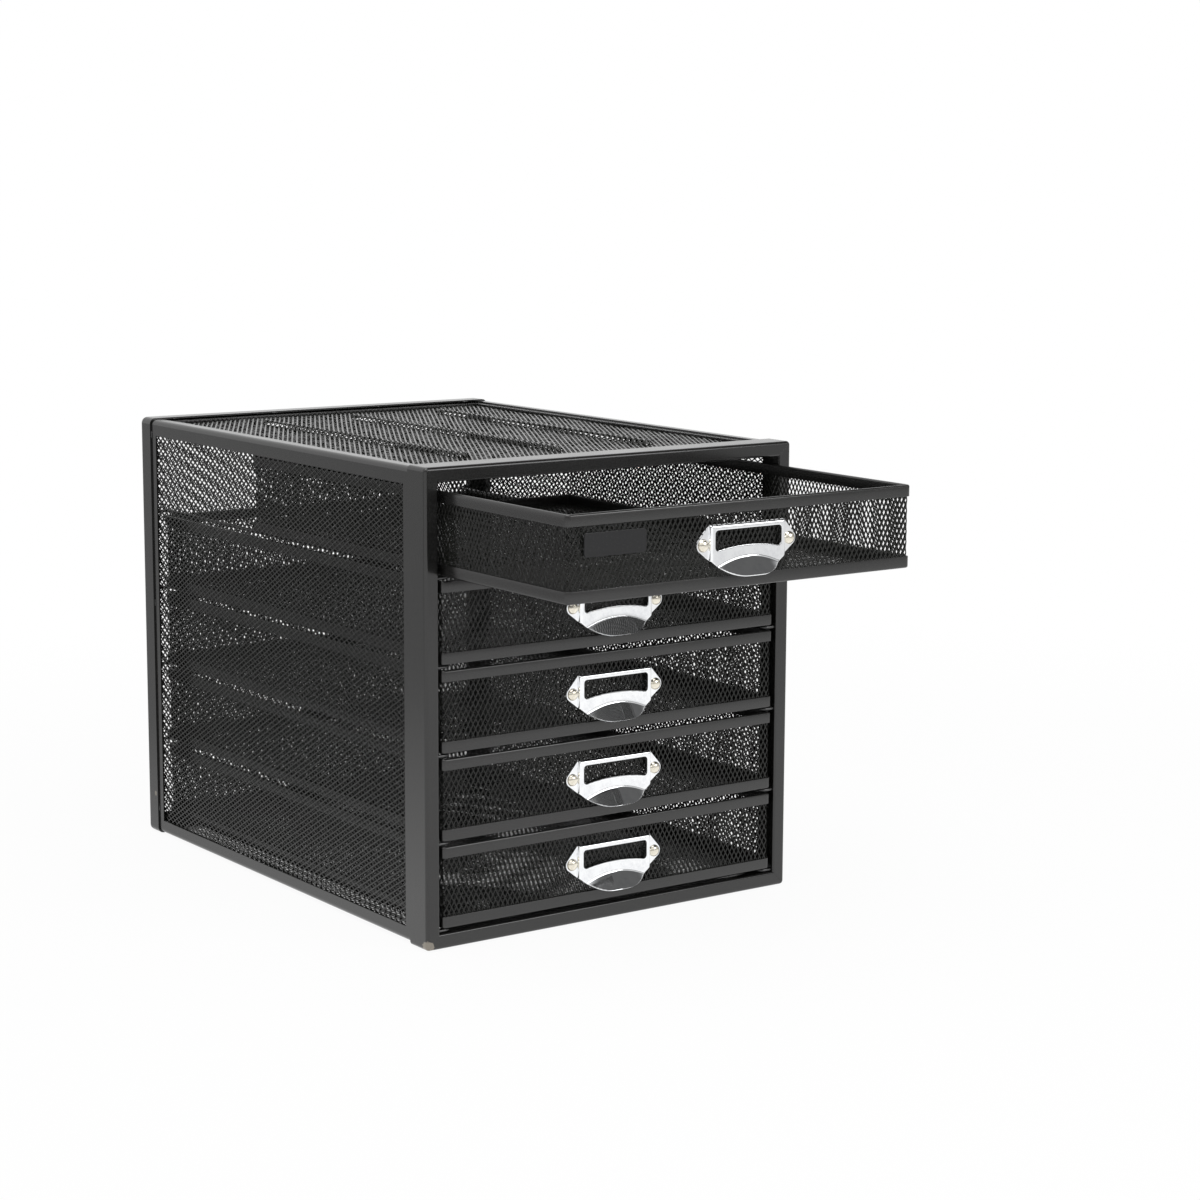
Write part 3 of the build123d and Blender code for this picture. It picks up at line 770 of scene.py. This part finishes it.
# Card window: three rounded corners, the bowed lower edge and the last corner.
def windowOutline():
    half, top = pull["windowWidth"] / 2, -pull["windowTop"]
    bottom, turn = top - pull["windowHeight"], pull["windowRound"]
    bowHalf = half - pull["windowShoulder"]
    box = roundedOutline(
        [(half, top, turn), (-half, top, turn), (-half, bottom, turn), (half, bottom, turn)],
        pullGrid["windowSteps"])
    bow = [(x, bottom + pull["windowArch"] * (1 - (x / bowHalf) ** 2))
           for x in np.linspace(-bowHalf, bowHalf, pullGrid["archPoints"])]
    bow = [p for p in bow if abs(p[0]) < half - turn - pullGrid["windowClear"]]
    lastCorner = 3 * (pullGrid["windowSteps"] + 1)
    return resampled(box[:lastCorner] + bow + box[lastCorner:])


# Height of the line where the finger lip leaves the plate.
def creaseZ(x):
    return archTop - (np.hypot(rootRadius, x) - rootRadius) / lipSlope


def createPullMesh(earSpacing):
    ear = Vector((earSpacing / 2, -pull["earDrop"]))
    topCorner = Vector((pullHalf, 0))
    foot = Vector((pull["footWidth"] / 2, -pull["footDrop"]))

    def touchAngle(point, turn):
        apart = point - ear
        return math.atan2(apart.y, apart.x) + turn * math.acos(pull["earRadius"] / apart.length)

    upper, lower = touchAngle(topCorner, -1), touchAngle(foot, 1)
    arc = [ear + pull["earRadius"] * Vector((math.cos(a), math.sin(a)))
           for a in np.linspace(lower, upper, pullGrid["earSteps"] + 1)]
    lipCorner = (pull["lipFlat"] / 2, -pull["lipDrop"], pull["lipRound"])
    lip = roundedOutline(
        [(*foot, 0), lipCorner, (-lipCorner[0], *lipCorner[1:]), (-foot.x, foot.y, 0)], pullGrid["lipSteps"])
    lip = [p for p in lip if abs(p[0]) < foot.x - pullGrid["sameSpot"] and p[1] < foot.y]
    right = [foot] + arc + [topCorner]
    left = [Vector((-p.x, p.y)) for p in reversed(right)]
    outline = resampled([tuple(p) for p in right + left] + sorted(lip, key=lambda p: p[0]))
    window = windowOutline()

    lowerLine = (foot - arc[0]).normalized()
    lowerNormal = Vector((lowerLine.y, -lowerLine.x))

    # Distance inwards from the plate's sides, top and slanted lower edges, less its narrow flange.
    def plateEdge(x, z):
        lowerGap = (np.abs(x) - foot.x) * lowerNormal.x + (z - foot.y) * lowerNormal.y
        fade = pull["fadeRate"] * np.maximum(0, -pull["fadeBelow"] - z)
        return np.minimum(np.minimum(pullHalf - np.abs(x), -z), lowerGap + fade) - pull["flange"]

    # Depth of the pressing in front of the wall: the plate or the lip's cone, blended at the crease.
    def depth(x, z):
        edge = plateEdge(x, z)
        turn = pull["pressRound"]
        bend = np.clip(turn - edge, 0, turn)
        plate = pull["rise"] - turn + np.sqrt(np.maximum(turn * turn - bend * bend, 0))
        flange = np.clip(-edge / pull["flange"], 0, 1)
        footing = np.where(np.abs(x) > pullHalf - pull["flange"], pull["sheet"], pull["footing"])
        plate = plate * (1 - flange) + footing * flange
        radius = rootRadius + (archTop - z) * lipSlope
        cone = np.sqrt(np.maximum(radius ** 2 - x ** 2, 1)) - (rootRadius - pull["rise"])
        apart = plate - cone
        softness = pull["crease"] ** 2 * np.clip(1 - np.abs(apart) / 2, 0, 1)
        return (plate + cone + np.sqrt(apart ** 2 + softness)) / 2

    def along(span):
        return np.arange(*pullGrid[span], pullGrid["rowStep"])

    rows = []
    for t in pullGrid["pressRows"]:
        inset = t + pull["flange"]
        rows += [(x, -inset) for x in along("topSpan")]
        for side in (-1, 1):
            rows += [(side * (pullHalf - inset), z) for z in along("sideSpan")]
            for run in along("lowerSpan"):
                spot = arc[0] + lowerLine * run + lowerNormal * inset
                rows.append((side * spot.x, spot.y))
    pressRows = pullGrid["pressRows"]
    rows = [p for p in rows if min(abs(plateEdge(*p) - t) for t in pressRows) < pullGrid["onRow"]]
    for side in (-1, 1):
        for out in pullGrid["outerRows"]:
            rows += [(side * (pullHalf + out), z) for z in along("outerSpan")]
    for shift in pullGrid["creaseRows"]:
        rows += [(x, creaseZ(x) + shift) for x in along("creaseSpan")]

    spacing = pullGrid["latticeStep"]
    levels = np.arange(-pullGrid["latticeDrop"], 0, spacing * pullGrid["latticeRow"])
    lattice = np.array([(x + (k % 2) * spacing / 2, z) for k, z in enumerate(levels)
                        for x in np.arange(-pullGrid["latticeHalf"], pullGrid["latticeHalf"], spacing)])
    x, z = lattice[:, 0], lattice[:, 1]
    clear = pullGrid["creaseClear"]
    nearCrease = (np.abs(z - creaseZ(x)) < clear) & (np.abs(x) < foot.x)
    onPlate = (plateEdge(x, z) > pullGrid["pressClear"]) & ~nearCrease
    inEar = np.abs(x) > pullHalf + pullGrid["earClear"]
    onLip = z < creaseZ(x) - clear
    loose = np.concatenate([np.array(rows), lattice[onPlate | inEar | onLip]])
    loose = loose[inside(loose, outline) & ~inside(loose, window)]
    clearOfOutline = edgeDistance(loose, outline) > pullGrid["outlineClear"]
    loose = loose[clearOfOutline & (edgeDistance(loose, window) > pullGrid["windowClear"])]

    vertices = [Vector(p) for p in outline + window] + [Vector(p) for p in loose]
    outer = len(outline)
    edges = [(i, (i + 1) % outer) for i in range(outer)]
    edges += [(outer + i, outer + (i + 1) % len(window)) for i in range(len(window))]
    flat, _, faces, *_ = delaunay_2d_cdt(vertices, edges, [], 0, pullGrid["weld"])
    flat = np.array([tuple(p) for p in flat])
    faces = np.array([tuple(f) for f in faces])
    middles = flat[faces].mean(1)
    faces = faces[~inside(middles, window) & inside(middles, outline)]
    used, faces = np.unique(faces, return_inverse=True)
    faces = faces.reshape(-1, 3)
    flat = flat[used]
    a, b, c = (flat[faces[:, i]] for i in range(3))
    turning = (b[:, 0] - a[:, 0]) * (c[:, 1] - a[:, 1]) - (b[:, 1] - a[:, 1]) * (c[:, 0] - a[:, 0])
    faces[turning < 0] = faces[turning < 0][:, ::-1]
    points = np.stack([flat[:, 0], -depth(flat[:, 0], flat[:, 1]), flat[:, 1]], -1)
    mesh = meshFromArrays("label_pull_pressing", points * mm, faces)
    mesh.shade_smooth()
    return mesh


# Rivets: profile (radius, height) of the dome, the shank and the tail behind the mesh
rivet = {
    "profile": [(0.05, 3.2), (1.0, 3.14), (1.9, 2.95), (2.7, 2.58), (3.3, 2.06), (3.68, 1.46), (3.8, 1.02),
                (3.7, 0.92), (1.5, 0.9), (1.5, -0.8), (2.5, -0.82), (2.6, -1.0), (2.5, -1.5), (0.05, -1.6)],
    "headRadius": 3.8, "segments": 28, "sharpAngle": 50,
}


def rivetHeads(spacing):
    points, faces = [], []
    for side in (-1, 1):
        centre = (side * spacing / 2, 0, -pull["earDrop"])
        spun, around = turnedPoints(rivet["profile"], centre, rivet["segments"], len(points))
        points += spun
        faces += around
    points = [tuple(c * mm for c in p) for p in points]
    return meshFromLists("pull_rivets_domed", points, faces, rivet["sharpAngle"])


rivetLow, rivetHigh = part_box("drawer_2_rivets")
earSpacing = (rivetHigh.x - rivetLow.x) / mm - 2 * rivet["headRadius"]
pullMesh = createPullMesh(earSpacing)
rivetMesh = rivetHeads(earSpacing)
print("pull made:", len(pullMesh.polygons), "faces")


def addPullSheet(piece):
    shell = piece.modifiers.new("Sheet", "SOLIDIFY")
    shell.thickness = pull["sheet"] * mm
    shell.offset = -1
    edges = piece.modifiers.new("Edges", "BEVEL")
    edges.width = pull["bevel"] * mm
    edges.segments = 2
    edges.limit_method = "ANGLE"
    edges.angle_limit = math.radians(pull["bevelAngle"])


# The drawers, all from the same meshes: piece, mesh, material, the node it replaces and its slot
drawerPieces = [
    ("top_channel", rimMeshes["top_rim"], drawerCoat, "top_rim", "powder_coat"),
    ("bottom_channel", rimMeshes["bottom_rim"], drawerCoat, "bottom_rim", "powder_coat"),
    ("wall_net", wallMesh, meshCoat, "wall_mesh", "powder_coat"),
    ("floor_net", floorMesh, meshCoat, "floor_mesh", "powder_coat"),
    ("label_holder", pullMesh, chromePlate, "label_pull", "chrome_plate"),
    ("rivet_pair", rivetMesh, nickelPlate, "rivets", "rivet_steel"),
]
for number in drawers:
    body = f"drawer_{number}"
    rimLow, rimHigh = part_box(f"{body}_top_rim")
    middle = (rimLow + rimHigh) / 2
    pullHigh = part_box(f"{body}_label_pull")[1]
    for name, mesh, material, part, slot in drawerPieces:
        node = f"{body}_{part}"
        place = (0, middle.y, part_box(node)[0].z)
        if part in ("label_pull", "rivets"):
            place = (0, pullHigh.y, pullHigh.z)
        piece = addPiece(f"{body}_{name}", mesh, material, place)
        if part == "label_pull":
            addPullSheet(piece)
        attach(piece, body)
        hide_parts(node)
print("drawers made")

# Bare plate on the top drawer's front mesh
plate = {
    "width": 42.5, "height": 13.5, "round": 1.6, "roundSteps": 6, "thickness": 1.0,
    "left": -114.0, "low": 24.9, "gap": 0.3, "bevel": 0.3, "sharpAngle": 35,
}


def plateMesh():
    w, h, turn = plate["width"], plate["height"], plate["round"]
    outline = roundedOutline([(0, 0, turn), (w, 0, turn), (w, h, turn), (0, h, turn)], plate["roundSteps"])
    count = len(outline)
    points = [(x * mm, -y * mm, z * mm) for y in (0, plate["thickness"]) for x, z in outline]
    faces = [[count + i for i in range(count)], list(reversed(range(count)))]
    faces += [[i, (i + 1) % count, count + (i + 1) % count, count + i] for i in range(count)]
    return meshFromLists("bare_plate", points, faces, plate["sharpAngle"])


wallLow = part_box("drawer_1_wall_mesh")[0]
platePlace = (plate["left"] * mm, wallLow.y - plate["gap"] * mm, wallLow.z + plate["low"] * mm)
barePlate = addPiece("drawer_1_bare_plate", plateMesh(), plateCoat, platePlace)
softEdge = barePlate.modifiers.new("Edges", "BEVEL")
softEdge.width = plate["bevel"] * mm
softEdge.segments = 3
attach(barePlate, "drawer_1")

# Weld spots, in rings of (spread, height), where the folded frames meet the side panels and the lid
welds = {
    "radius": 2.0, "proud": 0.35, "segments": 12, "seed": 5, "sizes": (0.7, 1.2), "narrow": 0.7,
    "tall": 1.2, "lobes": 0.15, "rough": 0.06, "sharpAngle": 60,
    "rings": ((1, -0.3), (0.95, 0.25), (0.6, 0.8), (0.25, 1)),
    "sideLevels": (14, 159, 275), "rearShift": 4, "lidPlaces": (-118, -40, 45, 118), "sideSunk": 0.8,
    "lidSunk": 0.9,
}


def weldSpots(places):
    dice = np.random.default_rng(welds["seed"])
    count = welds["segments"]
    points, faces = [], []
    for place, normal in places:
        place, normal = Vector(place), Vector(normal)
        along = Vector((0, 0, 1)) if abs(normal.z) < 0.5 else Vector((1, 0, 0))
        across = normal.cross(along)
        base = len(points)
        reach = welds["radius"] * dice.uniform(*welds["sizes"])
        for ring, (spread, height) in enumerate(welds["rings"]):
            for k in range(count):
                turn = 2 * math.pi * k / count
                lobe = welds["lobes"] * math.sin(3 * turn + 5 * base)
                ragged = 1 + lobe + dice.uniform(-welds["rough"], welds["rough"])
                oval = across * math.cos(turn) * welds["narrow"] + along * math.sin(turn) * welds["tall"]
                offset = oval * reach * spread * ragged
                points.append(tuple((place + offset + normal * height * welds["proud"]) * mm))
            if ring:
                for k in range(count):
                    a = base + (ring - 1) * count + k
                    b = base + (ring - 1) * count + (k + 1) % count
                    faces.append((a, b, b + count, a + count))
        last = base + (len(welds["rings"]) - 1) * count
        faces.append([last + k for k in range(count)])
        faces.append([base + k for k in reversed(range(count))])
    return meshFromLists("frame_weld_spots", points, faces, welds["sharpAngle"])


left, right = frontLow.x / mm + welds["sideSunk"], frontHigh.x / mm - welds["sideSunk"]
seam, rearSeam, lidHigh = frontHigh.y / mm, rearLow.y / mm, frontHigh.z / mm - welds["lidSunk"]
spots = []
for z in welds["sideLevels"]:
    for y, level in ((seam, z), (rearSeam, z + welds["rearShift"])):
        spots += [((left, y, level), (-1, 0, 0)), ((right, y, level), (1, 0, 0))]
for x in welds["lidPlaces"]:
    spots += [((x, seam, lidHigh), (0, 0, 1)), ((x, rearSeam, lidHigh), (0, 0, 1))]
weldPiece = addPiece("frame_weld_spots", weldSpots(spots), lidCoat)
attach(weldPiece, "cabinet")
print("plate and weld spots made")

# Studio: pale floor, white surroundings, soft lamps
studio = {
    "floorSize": 12.0, "floorDrop": 0.0005, "floorColour": (0.86, 0.86, 0.86, 1), "white": (1, 1, 1, 1),
    "glowNear": 0.94, "fadeFrom": 0.45, "fadeTo": 1.2, "skyForSurfaces": 0.5,
    # Floor glow seen only in mirrors, a painted reflection: brighter to the left, dimmer to the right and
    # rear
    "sheenFrom": 0.45, "sheenTo": 1.0, "floorSheenLeft": 1.15, "floorSheenRight": 0.85,
    "rearFrom": 0.1, "rearTo": 0.7, "floorSheenRear": 0.5,
    "skyLow": 0.35, "skyFrom": 0.05, "skyTo": 0.40, "behindTo": 0.5,
    "flagToward": (0.57, -0.25, 0.78), "flagFrom": 0.80, "flagTo": 0.93, "flagDim": 0.12,
    "lamps": [
        {"name": "topLamp", "place": (-0.3, -0.2, 1.6), "aim": (0, 0.1, 0.15), "size": 1.3, "watts": 16},
        {"name": "frontLamp", "place": (0.9, -1.7, 0.9), "aim": (0, 0, 0.15), "size": 0.9, "watts": 9},
    ],
}


def whenSeen(tree):
    path = addNode(tree, "ShaderNodeLightPath").outputs
    seen = maths(tree, "ADD", path["Is Camera Ray"], path["Is Glossy Ray"])
    return maths(tree, "ADD", seen, path["Is Transmission Ray"], clamp=True)


def inMirrors(tree):
    return addNode(tree, "ShaderNodeLightPath").outputs["Is Glossy Ray"]


# Floor that takes shadows near the object and fades to white. In mirrors it glows as a painted reflection of
# its own, brighter to the left, dimmer to the right and towards the rear.
def createFloor():
    half = studio["floorSize"] / 2
    mesh = bpy.data.meshes.new("studio_floor")
    corners = [(-half, -half, 0), (half, -half, 0), (half, half, 0), (-half, half, 0)]
    mesh.from_pydata(corners, [], [(0, 1, 2, 3)])
    material, tree, _ = startMaterial("floorPaint")
    tree.nodes.clear()
    paint = addNode(tree, "ShaderNodeBsdfDiffuse", {"Color": studio["floorColour"]})
    where = objectPlace(tree)
    away = addNode(tree, "ShaderNodeVectorMath", {0: where}, operation="LENGTH").outputs["Value"]
    faded = mapRange(tree, away, studio["fadeFrom"], studio["fadeTo"], curve="SMOOTHSTEP")
    split = splitVector(tree, where)
    # Painted reflection: the floor's glow in mirrors, brighter to the left, dimmer to the right and towards
    # the rear
    sheen = mapRange(tree, split["X"], studio["sheenFrom"], studio["sheenTo"],
                     studio["floorSheenLeft"], studio["floorSheenRight"])
    rearDim = mapRange(tree, split["Y"], studio["rearFrom"], studio["rearTo"], 1.0, studio["floorSheenRear"])
    strength = mixValues(tree, inMirrors(tree), 1.0, maths(tree, "MULTIPLY", sheen, rearDim))
    glow = addNode(tree, "ShaderNodeEmission", {"Color": studio["white"], "Strength": strength})
    share = mapRange(tree, faded, toLow=studio["glowNear"])
    amount = maths(tree, "MULTIPLY", whenSeen(tree), share)
    mixed = addNode(tree, "ShaderNodeMixShader", {0: amount, 1: paint.outputs[0], 2: glow.outputs[0]})
    addNode(tree, "ShaderNodeOutputMaterial", {"Surface": mixed.outputs[0]})
    addPiece("studio_floor", mesh, material, (0, 0, -studio["floorDrop"]))


# Plain white when seen; in mirrors it darkens towards the horizon in front and has one dark flag.
def createWorld():
    world = bpy.data.worlds.new("whiteStudio")
    world.use_nodes = True
    tree = world.node_tree
    tree.nodes.clear()
    soft = addNode(
        tree, "ShaderNodeBackground", {"Color": studio["white"], "Strength": studio["skyForSurfaces"]})
    sky = addNode(tree, "ShaderNodeTexCoord").outputs["Generated"]
    toward = splitVector(tree, sky)
    high = mapRange(tree, toward["Z"], studio["skyFrom"], studio["skyTo"], curve="SMOOTHSTEP")
    behind = mapRange(tree, toward["Y"], 0.0, studio["behindTo"], curve="SMOOTHSTEP")
    bright = mapRange(tree, maths(tree, "MAXIMUM", high, behind), toLow=studio["skyLow"])
    flag = addNode(tree, "ShaderNodeVectorMath", {0: sky, 1: Vector(studio["flagToward"]).normalized()},
                   operation="DOT_PRODUCT").outputs["Value"]
    flagged = mapRange(
        tree, flag, studio["flagFrom"], studio["flagTo"], 1.0, studio["flagDim"], "SMOOTHSTEP")
    strength = mixValues(tree, inMirrors(tree), 1.0, maths(tree, "MULTIPLY", bright, flagged))
    white = addNode(tree, "ShaderNodeBackground", {"Color": studio["white"], "Strength": strength})
    shares = {0: whenSeen(tree), 1: soft.outputs[0], 2: white.outputs[0]}
    mixed = addNode(tree, "ShaderNodeMixShader", shares)
    addNode(tree, "ShaderNodeOutputWorld", {"Surface": mixed.outputs[0]})
    bpy.context.scene.world = world


def createLamps():
    for lamp in studio["lamps"]:
        light = bpy.data.lights.new(lamp["name"], "AREA")
        light.shape = "SQUARE"
        light.size = lamp["size"]
        light.energy = lamp["watts"]
        aim = Vector(lamp["aim"]) - Vector(lamp["place"])
        holder = addObject(lamp["name"], light, lamp["place"])
        holder.rotation_euler = aim.to_track_quat("-Z", "Y").to_euler()


# Angles in radians: azimuth from the front, elevation above the horizon, and the camera's small roll.
cameraView = {
    "place": (-0.98169, -1.36266, 0.47404), "azimuth": 0.622, "elevation": 0.16245, "roll": 0.00477,
    "lens": 83.007, "sensor": 36.0, "clipStart": 0.01,
}


def createCamera():
    camera = bpy.data.cameras.new("photoCamera")
    camera.lens = cameraView["lens"]
    camera.sensor_width = cameraView["sensor"]
    camera.clip_start = cameraView["clipStart"]
    holder = addObject("photoCamera", camera, cameraView["place"])
    holder.rotation_euler = (math.pi / 2 - cameraView["elevation"], 0, -cameraView["azimuth"])
    level = holder.rotation_euler.to_matrix()
    holder.rotation_euler = (level @ Matrix.Rotation(cameraView["roll"], 3, "Z")).to_euler()
    bpy.context.scene.camera = holder


createFloor()
createWorld()
createLamps()
createCamera()
bpy.context.scene.view_settings.view_transform = "Standard"
print("studio made")
